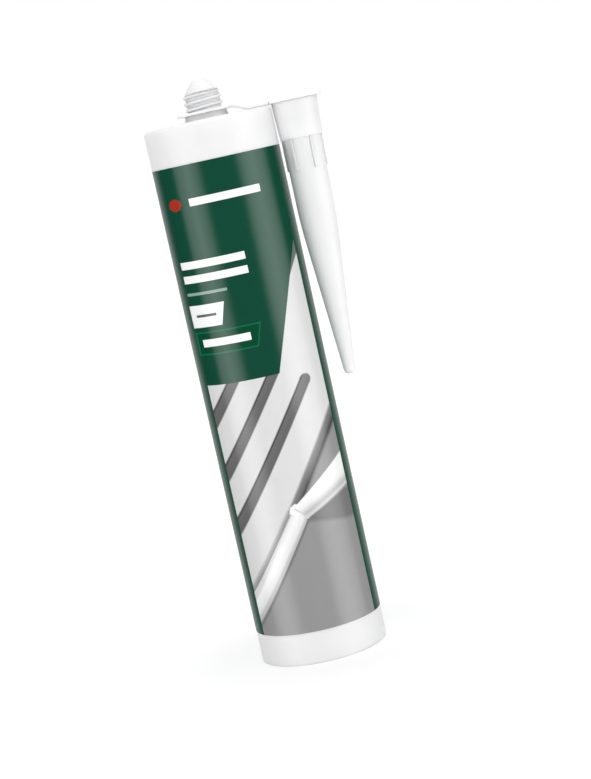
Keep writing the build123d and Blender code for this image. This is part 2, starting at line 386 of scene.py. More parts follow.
# ---- Materials ----
def add_node(tree, kind, settings=None, links=None):
    """Add a node with its settings, its sockets' values and its links. Stops are those of a colour ramp."""
    node = tree.nodes.new(kind)
    for name, value in (settings or {}).items():
        if name == "stops":
            while len(node.color_ramp.elements) > 1:
                node.color_ramp.elements.remove(node.color_ramp.elements[-1])
            node.color_ramp.elements[0].position = value[0][0]
            node.color_ramp.elements[0].color = value[0][1]
            for position, shade in value[1:]:
                node.color_ramp.elements.new(position).color = shade
        elif isinstance(name, int) or name in node.inputs:
            node.inputs[name].default_value = value
        else:
            setattr(node, name, value)
    for name, source in (links or {}).items():
        tree.links.new(source, node.inputs[name])
    return node


def new_material(name):
    """A material with an empty node tree, its output and a principled shader."""
    material = bpy.data.materials.new(name)
    material.use_nodes = True
    tree = material.node_tree
    tree.nodes.clear()
    shader = add_node(tree, "ShaderNodeBsdfPrincipled")
    add_node(tree, "ShaderNodeOutputMaterial", links={"Surface": shader.outputs["BSDF"]})
    return material, tree, shader


def moulded_polyethylene(name, tint, shade):
    """Injection-moulded polyethylene: an even satin white, with faint clouds and a fine mould texture."""
    material, tree, shader = new_material(name)
    place_on = add_node(tree, "ShaderNodeTexCoord").outputs["Object"]
    # Melt flow leaves soft clouds, about 9 mm across, that change the gloss and barely the white
    clouds = add_node(
        tree,
        "ShaderNodeTexNoise",
        {"Scale": 1 / (9 * MM), "Detail": 2.0, "Roughness": 0.5},
        {"Vector": place_on},
    )
    cloud_tone = add_node(
        tree,
        "ShaderNodeValToRGB",
        {"stops": [(0.3, shade), (0.7, tint)]},
        {"Fac": clouds.outputs["Fac"]},
    )
    gloss = add_node(
        tree, "ShaderNodeMapRange", {"To Min": 0.40, "To Max": 0.50}, {"Value": clouds.outputs["Fac"]}
    )
    # The mould's fine erosion, really about 0.1 mm, is drawn at 0.5 mm so that it shows
    grain = add_node(
        tree,
        "ShaderNodeTexNoise",
        {"Scale": 1 / (0.5 * MM), "Detail": 3.0, "Roughness": 0.6},
        {"Vector": place_on},
    )
    bump = add_node(
        tree, "ShaderNodeBump", {"Strength": 0.12, "Distance": 0.02 * MM}, {"Height": grain.outputs["Fac"]}
    )
    tree.links.new(cloud_tone.outputs["Color"], shader.inputs["Base Color"])
    tree.links.new(gloss.outputs["Result"], shader.inputs["Roughness"])
    tree.links.new(bump.outputs["Normal"], shader.inputs["Normal"])
    shader.inputs["IOR"].default_value = 1.51
    # Light travels a few millimetres inside the milky plastic, which softens its hollows
    shader.inputs["Subsurface Weight"].default_value = 0.6
    shader.inputs["Subsurface Radius"].default_value = (1.0, 1.0, 1.0)
    shader.inputs["Subsurface Scale"].default_value = 2.5 * MM
    return material


def sealant_paste(name, tint):
    """Silicone paste as filled: a creamy, wet-looking white with slow folds on its surface."""
    material, tree, shader = new_material(name)
    place_on = add_node(tree, "ShaderNodeTexCoord").outputs["Object"]
    # Folds left by the filling nozzle, about 6 mm apart
    folds = add_node(
        tree,
        "ShaderNodeTexNoise",
        {"Scale": 1 / (6 * MM), "Detail": 1.0, "Distortion": 1.5},
        {"Vector": place_on},
    )
    # The paste's colour follows the same noise as its bump, up to 7 percent darker in the folds' hollows:
    # painted shade
    tone = add_node(
        tree,
        "ShaderNodeValToRGB",
        {"stops": [(0.35, tuple(0.93 * part for part in tint[:3]) + (1.0,)), (0.65, tuple(tint))]},
        {"Fac": folds.outputs["Fac"]},
    )
    wet = add_node(
        tree, "ShaderNodeMapRange", {"To Min": 0.22, "To Max": 0.38}, {"Value": folds.outputs["Fac"]}
    )
    bump = add_node(
        tree, "ShaderNodeBump", {"Strength": 0.35, "Distance": 0.3 * MM}, {"Height": folds.outputs["Fac"]}
    )
    tree.links.new(tone.outputs["Color"], shader.inputs["Base Color"])
    tree.links.new(wet.outputs["Result"], shader.inputs["Roughness"])
    tree.links.new(bump.outputs["Normal"], shader.inputs["Normal"])
    shader.inputs["IOR"].default_value = 1.41
    return material


def inside_of(tree, point, corners, rounding):
    """Distance in mm inside a convex field, from its corners across and up, which run anticlockwise."""
    inside = None
    for (across, up), (next_across, next_up) in zip(corners, corners[1:] + corners[:1]):
        side = math.hypot(next_across - across, next_up - up)
        inward = ((up - next_up) / side, (next_across - across) / side)
        offset = -(inward[0] * across + inward[1] * up)
        edge = add_node(
            tree,
            "ShaderNodeVectorMath",
            {"operation": "DOT_PRODUCT", 1: (inward[0], offset, inward[1])},
            {0: point},
        ).outputs["Value"]
        if inside is None:
            inside = edge
        else:
            inside = add_node(
                tree, "ShaderNodeMath", {"operation": "SMOOTH_MIN", 2: rounding}, {0: inside, 1: edge}
            ).outputs["Value"]
    return inside


def print_ink(tree, under, ink, inside, softness=0.08):
    """Print an ink over what is under it, where the distance inside a field is above nothing."""
    cover = add_node(
        tree, "ShaderNodeMapRange", {"From Min": -softness / 2, "From Max": softness / 2}, {"Value": inside}
    )
    layer = add_node(tree, "ShaderNodeMix", {"data_type": "RGBA"}, {"Factor": cover.outputs["Result"]})
    for number, source in ((6, under), (7, ink)):
        if isinstance(source, bpy.types.NodeSocket):
            tree.links.new(source, layer.inputs[number])
        else:
            layer.inputs[number].default_value = source
    return layer.outputs[2]


def print_field(tree, point, under, ink, corners, softness=0.08, rounding=0.0):
    """Print a convex field of ink over what is under it."""
    return print_ink(tree, under, ink, inside_of(tree, point, corners, rounding), softness)


def print_disc(tree, point, under, ink, middle, radius, softness=0.08):
    """Print a disc of ink, from its middle across and up."""
    away = add_node(
        tree,
        "ShaderNodeVectorMath",
        {"operation": "DISTANCE", 1: (middle[0], 1, middle[1])},
        {0: point},
    )
    inside = add_node(
        tree, "ShaderNodeMath", {"operation": "SUBTRACT", 0: radius}, {1: away.outputs["Value"]}
    )
    return print_ink(tree, under, ink, inside.outputs["Value"], softness)


def shade_across(tree, point, start, end, stops):
    """A tone that changes along the line from start to end, from stops in mm along it and their greys."""
    run = (end[0] - start[0], end[1] - start[1])
    whole = math.hypot(*run)
    along = (run[0] / whole, run[1] / whole)
    offset = -(along[0] * start[0] + along[1] * start[1])
    distance = add_node(
        tree,
        "ShaderNodeVectorMath",
        {"operation": "DOT_PRODUCT", 1: (along[0] / whole, offset / whole, along[1] / whole)},
        {0: point},
    )
    tones = [(at / whole, linear("#" + 3 * f"{grey:02X}")) for at, grey in stops]
    return add_node(
        tree, "ShaderNodeValToRGB", {"stops": tones}, {"Fac": distance.outputs["Value"]}
    ).outputs["Color"]


def across_line(at, slope, width):
    """Start and end of a line, of a given length, that leaves a slanted line at right angles."""
    tilt = math.atan(slope)
    return at, (at[0] + width * math.sin(tilt), at[1] - width * math.cos(tilt))


def print_picture(tree, point, label, colours):
    """The front's picture, in mm: slanted stripes on a pale ground, and a white bead along a grey field."""
    side = label.radius / MM + 2
    foot = label.picture_foot / MM - 2
    print_now = tuple(colours.panel)
    # Slanted stripes, darkest at their upper edge. The first ends round, and the others run under the block
    slope = label.stripe_slope
    width = label.stripe_width / MM
    tilt = math.atan(slope)
    level_width = width / math.sin(tilt)
    for number in range(label.stripe_count):
        edge = 6.4 - number * label.stripe_pitch / MM
        upper = 108.2 if number == 0 else label.block_foot / MM + 0.6
        lower = 30.0
        foot_edge = edge + (lower - 100) / slope
        top_edge = edge + (upper - 100) / slope
        ends = [(top_edge + level_width, upper), (top_edge, upper)]
        middle = (top_edge + level_width / 2, upper)
        if number == 0:
            reach = (width / 2 * math.sin(tilt), width / 2 * math.cos(tilt))
            ends = [
                (middle[0] + reach[0], middle[1] - reach[1]),
                (middle[0] - reach[0], middle[1] + reach[1]),
            ]
        corners = [(foot_edge, lower), (foot_edge + level_width, lower)] + ends
        tones = [(0, 70), (0.45, 74), (0.95, 108), (width, 99)]
        tone = shade_across(tree, point, *across_line((edge, 100), slope, width), tones)
        print_now = print_field(tree, point, print_now, tone, corners, 0.5)
        if number == 0:
            print_now = print_disc(tree, point, print_now, tone, middle, width / 2, 0.5)
    # The groove above the bead: it darkens from the pale ground to a crease
    tones = [(0, 215), (1.0, 132), (2.8, 104), (3.6, 74)]
    tone = shade_across(tree, point, *across_line((2.2, 68), 1.446, 3.6), tones)
    print_now = print_field(tree, point, print_now, tone, [(-3.3, 60), (27, 60), (27, 103.9)], 0.3)
    # Soft shadow on the ground, beside the bead
    tones = [(0, 217), (1.2, 164), (2.3, 138)]
    tone = shade_across(tree, point, *across_line((-17.9, 40), 1.43, 2.3), tones)
    corners = [(-26, 24.4), (-0.5, 60.9), (-3.3, 60.9), (-28.8, 24.4)]
    print_now = print_field(tree, point, print_now, tone, corners, 0.3)
    # The grey field, whose edge is the crease
    tones = [(0, 76), (0.7, 122), (1.4, 146)]
    tone = shade_across(tree, point, *across_line((6.5, 68), 1.406, 1.4), tones)
    corners = [(-26.5, foot), (side, foot), (side, 96.8), (2, 61.7), (-26.5, 10.7)]
    print_now = print_field(tree, point, print_now, tone, corners, 0.4)
    # Shadows of the bead on the grey field
    print_now = print_field(
        tree, point, print_now, linear("#767676"), [(3.5, 55.2), (side, 50), (side, 72), (3.5, 57)], 1.8
    )
    print_now = print_field(
        tree, point, print_now, linear("#787878"), [(-24.6, 12), (5.4, 56), (4.2, 56), (-25.8, 12)], 0.7
    )
    # The bead's lower arm, with a groove along its right side
    # Its tones: the dark edge, the lit round, the shaded side, then the groove
    tones = [(0, 145), (0.6, 230), (2.5, 242), (5.1, 227), (6.2, 189), (6.7, 195), (7.05, 165)]
    tone = shade_across(tree, point, *across_line((-15.1, 40), 1.43, 7.05), tones)
    corners = [(-26.5, 10.8), (4.1, 55.8), (4.9, 57.0), (0.3, 62.2), (-0.7, 60.6), (-26.5, 23.7)]
    print_now = print_field(tree, point, print_now, tone, corners, 0.4)
    # Its upper arm, with a thin rim below a grey hollow
    tones = [(0, 145), (0.7, 212), (2.2, 184), (4.6, 233), (6.0, 241)]
    tone = shade_across(tree, point, *across_line((10, 58.4), 0.45, -6.0), tones)
    corners = [(4.0, 55.8), (side, 65.3), (side, 80.5), (0.6, 61.8)]
    print_now = print_field(tree, point, print_now, tone, corners, 0.4)
    # The joint where the arms meet
    corners = [(-2.1, 59.2), (0, 58.5), (2.0, 62.0), (0.6, 62.7), (-1.4, 61.6)]
    print_now = print_field(tree, point, print_now, tuple(colours.paper_white), corners, 0.5)
    corners = [(4.7, 56.0), (5.1, 56.4), (0.4, 61.1), (0.0, 60.7)]
    return print_field(tree, point, print_now, linear("#CDCDCD"), corners, 0.4)


def print_block(tree, point, label, colours, under):
    """The dark block above the picture and its borders, with plain marks and bars, in mm."""
    side = label.radius / MM + 2
    edge = label.picture_half_width / MM
    foot = label.block_foot / MM
    green = tuple(colours.green)
    white = tuple(colours.paper_white)
    # A thin dark wedge between the block's slanted side and the pale ground
    wedge = [(17.4, 147.2), (edge + 0.3, 155.8), (edge + 0.3, 161.5)]
    print_now = print_field(tree, point, under, linear("#6C716B"), wedge, 0.3)
    block = [
        (-side, foot),
        (5.7, foot),
        (6.6, foot + 0.9),
        (edge, 160.4),
        (side, 175),
        (side, 200),
        (-side, 200),
    ]
    print_now = print_field(tree, point, print_now, green, block, 0.15)
    for left, right in ((-side, -edge), (edge, side)):
        border = [(left, 0), (right, 0), (right, 200), (left, 200)]
        print_now = print_field(tree, point, print_now, green, border, 0.15)
    # A round mark beside a bar, then two bars, a thin one, a white field and an outlined one
    print_now = print_disc(tree, point, print_now, tuple(colours.accent), (-18.9, 182.7), 2.3)
    fields = [
        (white, (-13.4, 13.8, 181.3, 184.2), 0.0),
        (white, (-21.9, 2.8, 158.0, 160.9), 0.0),
        (white, (-21.9, 2.8, 152.6, 155.5), 0.0),
        (linear("#8DAA9E"), (-21.9, -6.6, 147.8, 148.9), 0.0),
        (linear("#F6F7F6"), (-edge - 0.1, -10.0, 135.4, 144.0), 1.2),
        (linear("#5B605D"), (-20.2, -12.6, 139.3, 140.3), 0.0),
        (tuple(colours.bright_green), (-edge - 0.1, 1.8, 124.6, 133.6), 1.3),
        (linear("#06492F"), (-edge + 0.5, 1.3, 125.15, 133.05), 1.15),
        (white, (-20.0, -1.6, 127.7, 130.6), 0.0),
    ]
    for ink, (left, right, low, high), slant in fields:
        corners = [(left, low), (right - slant, low), (right + slant, high), (left, high)]
        print_now = print_field(tree, point, print_now, ink, corners, 0.1, 0.3 if slant == 0 else 0.0)
    return print_now


def print_back(tree, point, label, colours):
    """The back: the block's green with one pale field, and rows of plain bars in place of small print."""
    side = label.radius / MM + 2
    print_now = print_field(
        tree,
        point,
        tuple(colours.green),
        tuple(colours.panel),
        [(-17, 34), (17, 34), (17, 176), (-17, 176)],
        0.15,
        1.5,
    )
    upright = add_node(tree, "ShaderNodeSeparateXYZ", links={"Vector": point})
    # Rows 3 mm apart, each bar 0.9 mm high
    rows = add_node(tree, "ShaderNodeMath", {"operation": "PINGPONG", 1: 1.5}, {0: upright.outputs["Z"]})
    row = add_node(tree, "ShaderNodeMath", {"operation": "SUBTRACT", 1: 1.05}, {0: rows.outputs["Value"]})
    paragraphs = [
        (-14, 14, 136.5, 154.5),
        (-3, 14, 133.5, 136.5),
        (-14, 14, 112.5, 127.5),
        (4, 14, 109.5, 112.5),
        (-14, 14, 88.5, 103.5),
        (-8, 14, 85.5, 88.5),
    ]
    for left, right, low, high in paragraphs:
        block = inside_of(tree, point, [(left, low), (right, low), (right, high), (left, high)], 0.0)
        bars = add_node(
            tree, "ShaderNodeMath", {"operation": "SMOOTH_MIN", 2: 0.3}, {0: block, 1: row.outputs["Value"]}
        )
        print_now = print_ink(tree, print_now, linear("#7F8582"), bars.outputs["Value"])
    # A heading bar, three plain squares and a foot bar
    plain = [(-8, 14, 162, 166), (-14, -6, 64, 72), (-4, 4, 64, 72), (6, 14, 64, 72)]
    for left, right, low, high in plain:
        corners = [(left, low), (right, low), (right, high), (left, high)]
        print_now = print_field(tree, point, print_now, tuple(colours.green), corners, 0.1, 0.8)
    corners = [(-14, 46), (14, 46), (14, 50), (-14, 50)]
    return print_field(tree, point, print_now, linear("#B9BDBB"), corners, 0.1, 0.8)


def printed_film(name, label, colours):
    """Polypropylene film, printed and varnished: flat inks under an even gloss that mirrors soft boxes."""
    material, tree, shader = new_material(name)
    place_on = add_node(tree, "ShaderNodeTexCoord").outputs["Object"]
    at = add_node(tree, "ShaderNodeSeparateXYZ", links={"Vector": place_on})
    across = add_node(tree, "ShaderNodeMath", {"operation": "DIVIDE", 1: MM}, {0: at.outputs["X"]})
    up = add_node(tree, "ShaderNodeMath", {"operation": "DIVIDE", 1: MM}, {0: at.outputs["Z"]})
    # The print is laid out in mm, across and up, as it is seen from the front. The middle value stays 1
    point = add_node(
        tree, "ShaderNodeCombineXYZ", {"Y": 1.0}, {"X": across.outputs["Value"], "Z": up.outputs["Value"]}
    ).outputs["Vector"]
    front = print_picture(tree, point, label, colours)
    front = print_block(tree, point, label, colours, front)
    back = print_back(tree, point, label, colours)
    behind = add_node(tree, "ShaderNodeMath", {"operation": "MULTIPLY", 1: 1 / MM}, {0: at.outputs["Y"]})
    ink = print_ink(tree, front, back, behind.outputs["Value"])
    # Ink density varies by a percent or two, in clouds about 5 mm across
    clouds = add_node(
        tree,
        "ShaderNodeTexNoise",
        {"Scale": 1 / (5 * MM), "Detail": 3.0, "Roughness": 0.6},
        {"Vector": place_on},
    )
    density = add_node(
        tree, "ShaderNodeMapRange", {"To Min": 0.975, "To Max": 1.025}, {"Value": clouds.outputs["Fac"]}
    )
    inked = add_node(
        tree, "ShaderNodeVectorMath", {"operation": "SCALE"}, {0: ink, "Scale": density.outputs["Result"]}
    )
    gloss = add_node(
        tree, "ShaderNodeMapRange", {"To Min": 0.13, "To Max": 0.19}, {"Value": clouds.outputs["Fac"]}
    )
    # The film's faint orange peel, about 2 mm from crest to crest
    peel = add_node(
        tree,
        "ShaderNodeTexNoise",
        {"Scale": 1 / (2 * MM), "Detail": 1.0, "Roughness": 0.5},
        {"Vector": place_on},
    )
    bump = add_node(
        tree, "ShaderNodeBump", {"Strength": 0.1, "Distance": 0.01 * MM}, {"Height": peel.outputs["Fac"]}
    )
    tree.links.new(inked.outputs["Vector"], shader.inputs["Base Color"])
    tree.links.new(gloss.outputs["Result"], shader.inputs["Roughness"])
    tree.links.new(bump.outputs["Normal"], shader.inputs["Normal"])
    shader.inputs["IOR"].default_value = 1.49
    return material


def pale_floor(name, tint):
    """Matt painted board: an even pale white with a faint tooth."""
    material, tree, shader = new_material(name)
    place_on = add_node(tree, "ShaderNodeTexCoord").outputs["Object"]
    tooth = add_node(
        tree, "ShaderNodeTexNoise", {"Scale": 1 / (4 * MM), "Detail": 2.0}, {"Vector": place_on}
    )
    tone = add_node(
        tree,
        "ShaderNodeValToRGB",
        {"stops": [(0.3, tuple(0.99 * part for part in tint[:3]) + (1.0,)), (0.7, tuple(tint))]},
        {"Fac": tooth.outputs["Fac"]},
    )
    tree.links.new(tone.outputs["Color"], shader.inputs["Base Color"])
    shader.inputs["Roughness"].default_value = 0.8
    shader.inputs["Specular IOR Level"].default_value = 0.1
    return material


def shared_plastic(colours):
    """The barrel, neck and nozzle are moulded from one plastic, so they share its material."""
    name = "injection_moulded_polyethylene"
    dimmer = tuple(0.975 * part for part in colours.polyethylene[:3]) + (1.0,)
    return bpy.data.materials.get(name) or moulded_polyethylene(name, tuple(colours.polyethylene), dimmer)


# ---- Operators: one for each piece, and one for the stage ----
class BuildCartridge(bpy.types.Operator):
    """Model the barrel with its shoulder, threaded neck and closed tip"""

    bl_idname = "caulk_tube.build_cartridge"
    bl_label = "Cartridge"

    def execute(self, context):
        size = context.scene.cartridge_sizes
        bore = size.barrel_radius - size.barrel_wall
        lead_in = bore + size.lead_in_step
        bore_top = size.barrel_length - size.shoulder_thickness
        flare_top = size.barrel_length + size.flare_height
        cone_slope = (size.neck_top - size.cone_start) / (size.thread_crest_radius - size.neck_tip_radius)
        root_top = size.cone_start + (size.thread_crest_radius - size.thread_root_radius) * cone_slope
        gate_radius = 0.9 * MM
        gate_depth = 0.15 * MM
        outline = [
            (0, size.neck_top - gate_depth),
            (gate_radius, size.neck_top - gate_depth),
            (gate_radius + gate_depth, size.neck_top),
            (size.neck_tip_radius, size.neck_top),
            (size.thread_root_radius, root_top),
            (size.thread_root_radius, flare_top),
            (size.flare_ledge_radius, flare_top),
            (size.flare_foot_radius, size.barrel_length),
            (size.barrel_radius, size.barrel_length),
            (size.barrel_radius, 0),
            (lead_in, 0),
            (lead_in, size.lead_in_length),
            (bore, size.lead_in_length + size.lead_in_step),
            (bore, bore_top),
            (size.neck_bore_radius, bore_top),
            (size.neck_bore_radius, size.cone_start),
            (1 * MM, size.neck_top - 2 * MM),
            (0, size.neck_top - 2 * MM),
        ]
        cartridge = turn("cartridge_moulding", outline, 192)
        rounded = [
            (size.barrel_radius, size.barrel_length, size.shoulder_rounding, 8),
            (size.barrel_radius, 0, 0.4 * MM, 4),
            (lead_in, 0, 0.2 * MM, 2),
            (bore, bore_top, 1 * MM, 4),
            (size.neck_tip_radius, size.neck_top, 0.4 * MM, 4),
            (size.flare_ledge_radius, flare_top, 0.2 * MM, 3),
            (size.flare_foot_radius, size.barrel_length, 0.35 * MM, 3),
            (size.thread_root_radius, flare_top, 0.2 * MM, 2),
        ]
        for radius, height, width, segments in rounded:
            round_ring(cartridge, radius, height, width, segments)
        # The thread is cut by a cone at its foot, where it grows out of the wall, and by the tip's cone
        fade = 0.5 * (size.flare_foot_radius - size.thread_root_radius)
        wide = size.flare_foot_radius
        shoulder = size.cone_start - (wide - size.thread_crest_radius) * cone_slope
        envelope = turn(
            "thread_envelope",
            [
                (0, size.thread_start),
                (size.thread_root_radius, size.thread_start),
                (wide, size.thread_start + fade),
                (wide, shoulder),
                (size.neck_tip_radius, size.neck_top),
                (0, size.neck_top),
            ],
            96,
        )
        rise = size.cone_start - size.thread_start + 2 * size.thread_pitch
        ridge = thread_ridge(
            "neck_thread", size.thread_root_radius, 1, size.thread_pitch, size.thread_start - 0.7 * MM, rise
        )
        combine(ridge, envelope, "INTERSECT")
        join(cartridge, [ridge])
        finish_piece(
            cartridge, shared_plastic(context.scene.tube_colours), "tube", "cartridge"
        )
        return {"FINISHED"}


class BuildLabel(bpy.types.Operator):
    """Wrap the printed film round the barrel, its ends overlapping at the back"""

    bl_idname = "caulk_tube.build_label"
    bl_label = "Label"

    def execute(self, context):
        size = context.scene.label_sizes
        inner = size.radius - size.thickness
        outer = size.radius
        outline = [(inner, size.foot), (outer, size.foot), (outer, size.top), (inner, size.top)]
        label = turn("label_film", outline, 256)
        make_active(label)
        bpy.ops.object.mode_set(mode="EDIT")
        half = size.overlap_width / 2
        select_faces(
            label,
            lambda at, normal: at.y > 0 and abs(at.x) < half and normal.y > 0.5 and abs(normal.z) < 0.5,
        )
        bpy.ops.mesh.extrude_region_move(TRANSFORM_OT_translate={"value": (0, 0, 0)})
        grow = (outer + size.thickness) / outer
        bpy.ops.transform.resize(value=(grow, grow, 1), center_override=(0, 0, 0))
        # The film's hidden end lifts the outer layer in a ramp, so only one end shows an edge
        select_edges(
            label,
            lambda at: at.y > 0 and at.x < -half + 0.4 * MM and at.x > -half - 0.7 * MM
            and math.hypot(at.x, at.y) > outer + size.thickness / 2,
        )
        bpy.ops.transform.resize(value=(1 / grow, 1 / grow, 1), center_override=(0, 0, 0))
        bpy.ops.mesh.select_all(action="SELECT")
        bpy.ops.mesh.remove_doubles(threshold=0.0005 * MM)
        bpy.ops.mesh.normals_make_consistent(inside=False)
        bpy.ops.object.mode_set(mode="OBJECT")
        film = printed_film("varnished_printed_polypropylene_film", size, context.scene.tube_colours)
        finish_piece(label, film, "tube", "label")
        return {"FINISHED"}


class BuildPiston(bpy.types.Operator):
    """Model the piston, a cup with two lips"""

    bl_idname = "caulk_tube.build_piston"
    bl_label = "Piston"

    def execute(self, context):
        size = context.scene.cartridge_sizes
        colours = context.scene.tube_colours
        wall = size.piston_radius - size.piston_relief
        cup = wall - 1.2 * MM
        crown = size.piston_top - 1.6 * MM
        lip = 3 * MM
        outline = [
            (0, size.piston_top),
            (size.piston_radius - 1 * MM, size.piston_top),
            (size.piston_radius, size.piston_top - 1 * MM),
            (size.piston_radius, size.piston_top - 1 * MM - lip),
            (wall, size.piston_top - 1 * MM - lip - size.piston_relief),
            (wall, size.piston_foot + lip + size.piston_relief),
            (size.piston_radius, size.piston_foot + lip),
            (size.piston_radius, size.piston_foot),
            (cup, size.piston_foot),
            (cup, crown),
            (0, crown),
        ]
        piston = turn("piston_moulding", outline, 160)
        for radius, height, width, segments in (
            (cup, crown, 1.2 * MM, 5),
            (cup, size.piston_foot, 0.25 * MM, 3),
            (size.piston_radius, size.piston_foot, 0.25 * MM, 3),
            (size.piston_radius - 1 * MM, size.piston_top, 0.2 * MM, 2),
        ):
            round_ring(piston, radius, height, width, segments)
        dimmer = tuple(0.95 * part for part in colours.piston_plastic[:3]) + (1.0,)
        plastic = moulded_polyethylene(
            "low_density_polyethylene_piston", tuple(colours.piston_plastic), dimmer
        )
        finish_piece(piston, plastic, "piston", "piston")
        return {"FINISHED"}


class BuildSealant(bpy.types.Operator):
    """Model the sealant above the piston"""

    bl_idname = "caulk_tube.build_sealant"
    bl_label = "Sealant"

    def execute(self, context):
        size = context.scene.cartridge_sizes
        top = size.barrel_length - size.shoulder_thickness
        outline = [
            (0, size.piston_top),
            (size.sealant_radius, size.piston_top),
            (size.sealant_radius, top),
            (0, top),
        ]
        sealant = turn("sealant_fill", outline, 128)
        round_ring(sealant, size.sealant_radius, top, 1 * MM, 4)
        paste = sealant_paste("silicone_sealant_paste", tuple(context.scene.tube_colours.paste))
        finish_piece(sealant, paste, "tube", "sealant")
        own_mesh(sealant)
        return {"FINISHED"}


class BuildNozzle(bpy.types.Operator):
    """Model the spare nozzle: its ring, strap, flange, threaded collar, ribs and closed cone"""

    bl_idname = "caulk_tube.build_nozzle"
    bl_label = "Spare nozzle"

    def build_disc(self, name, radius, foot, top):
        """A plain disc about Z."""
        return turn(name, [(0, foot), (radius, foot), (radius, top), (0, top)], 128)

    def build_plate(self, size):
        """The ring, strap and flange: one flat plate, stepped down along the strap."""
        top = size.ring_foot + size.plate_thickness
        plate = self.build_disc("nozzle_moulding", size.ring_radius, size.ring_foot, top)
        deselect_all()
        middle = (size.distance / 2, 0, size.ring_foot + size.plate_thickness / 2)
        bpy.ops.mesh.primitive_cube_add(size=1, location=middle)
        strap = bpy.context.active_object
        strap.scale = (size.distance, size.strap_width, size.plate_thickness)
        bpy.ops.object.transform_apply(location=True, rotation=True, scale=True)
        flange = self.build_disc("flange", size.flange_radius, size.ring_foot, top)
        place(flange, location=(size.distance, 0, 0))
        combine(plate, strap, "UNION")
        combine(plate, flange, "UNION")
        for radius, distance in ((size.ring_hole_radius, 0), (size.bore_radius, size.distance)):
            hole = self.build_disc("hole", radius, size.ring_foot - 1 * MM, top + 1 * MM)
            place(hole, location=(distance, 0, 0))
            combine(plate, hole, "DIFFERENCE")
        apply_modifier(
            plate, "BEVEL", width=size.plate_rounding, segments=3, limit_method="ANGLE",
            angle_limit=math.radians(40),
        )
        # Cut across the strap where it bends, then step everything beyond the bend down
        make_active(plate)
        bpy.ops.object.mode_set(mode="EDIT")
        cuts = 16
        for number in range(cuts + 1):
            share = number / cuts
            at = size.strap_bend_start + share * (size.strap_bend_end - size.strap_bend_start)
            bpy.ops.mesh.select_all(action="SELECT")
            bpy.ops.mesh.bisect(plane_co=(at, 0, 0), plane_no=(1, 0, 0))
        bpy.ops.object.mode_set(mode="OBJECT")
        lowered = plate.vertex_groups.new(name="lowered")
        for corner in plate.data.vertices:
            share = (corner.co.x - size.strap_bend_start) / (size.strap_bend_end - size.strap_bend_start)
            share = min(max(share, 0), 1)
            lowered.add([corner.index], share * share * (3 - 2 * share), "REPLACE")
        drop = top - size.mouth
        apply_modifier(
            plate, "DISPLACE", direction="Z", strength=-drop, mid_level=0, vertex_group="lowered"
        )
        return plate

    def build_body(self, size):
        """The collar, sleeve and cone, turned with their mouth at the origin, and the thread inside."""
        foot = -size.collar_length
        sleeve_foot = foot - size.sleeve_length
        tip = sleeve_foot - size.cone_length
        under = -size.plate_thickness
        fillet = 0.5 * MM
        bore_foot = -11.2 * MM
        outline = [
            (0, tip),
            (size.cone_tip_radius, tip),
            (size.sleeve_foot_radius, sleeve_foot),
            (size.sleeve_top_radius, foot),
            (size.collar_foot_radius, foot),
            (size.collar_top_radius, under - fillet),
            (size.collar_top_radius + 0.07 * MM, under - 0.5 * fillet),
            (size.collar_top_radius + 0.25 * MM, under - 0.14 * fillet),
            (size.collar_top_radius + fillet, under),
            (size.collar_top_radius + fillet, under + 0.4 * MM),
            (size.bore_radius, under + 0.4 * MM),
            (size.bore_radius, bore_foot),
            (size.sleeve_top_radius - size.wall, bore_foot - size.wall),
            (size.sleeve_foot_radius - size.wall, sleeve_foot),
            (size.cone_tip_radius - size.wall, tip + 3 * MM),
            (0, tip + 3 * MM),
        ]
        body = turn("nozzle_body", outline, 128)
        for radius, height, width, segments in (
            (size.cone_tip_radius, tip, 1.9 * MM, 8),
            (size.sleeve_foot_radius, sleeve_foot, 5.8 * MM, 10),
            (size.collar_foot_radius, foot, 0.2 * MM, 3),
            (size.sleeve_top_radius, foot, 0.15 * MM, 2),
            (size.sleeve_foot_radius - size.wall, sleeve_foot, 5.8 * MM, 6),
        ):
            round_ring(body, radius, height, width, segments)
        thread = thread_ridge("collar_thread", size.bore_radius, -1, 2.5 * MM, -9.7 * MM, 8.2 * MM)
        deselect_all()
        inward = 1 * MM
        depth = size.rib_radius - size.sleeve_foot_radius + inward
        bpy.ops.mesh.primitive_cube_add(
            size=1, location=(size.rib_radius - depth / 2, 0, foot - size.rib_length / 2 + 0.2 * MM)
        )
        rib = bpy.context.active_object
        rib.name = "rib"
        rib.scale = (depth, size.rib_width, size.rib_length + 0.4 * MM)
        bpy.ops.object.transform_apply(location=True, rotation=True, scale=True)
        apply_modifier(rib, "BEVEL", width=0.3 * MM, segments=4, limit_method="ANGLE")
        ribs = [rib]
        for number in range(1, size.rib_count):
            make_active(rib)
            bpy.ops.object.duplicate()
            ribs.append(bpy.context.active_object)
        for number, piece in enumerate(ribs):
            turned = math.radians(-6.5) + number * 2 * math.pi / size.rib_count
            place(piece, rotation=(0, 0, turned))
        return join(body, [thread] + ribs)

    def execute(self, context):
        size = context.scene.nozzle_sizes
        plate = self.build_plate(size)
        body = self.build_body(size)
        place(body, location=(size.distance, 0, size.mouth), rotation=(0, size.lean, 0))
        join(plate, [body])
        finish_piece(
            plate, shared_plastic(context.scene.tube_colours), "nozzle", "nozzle"
        )
        return {"FINISHED"}


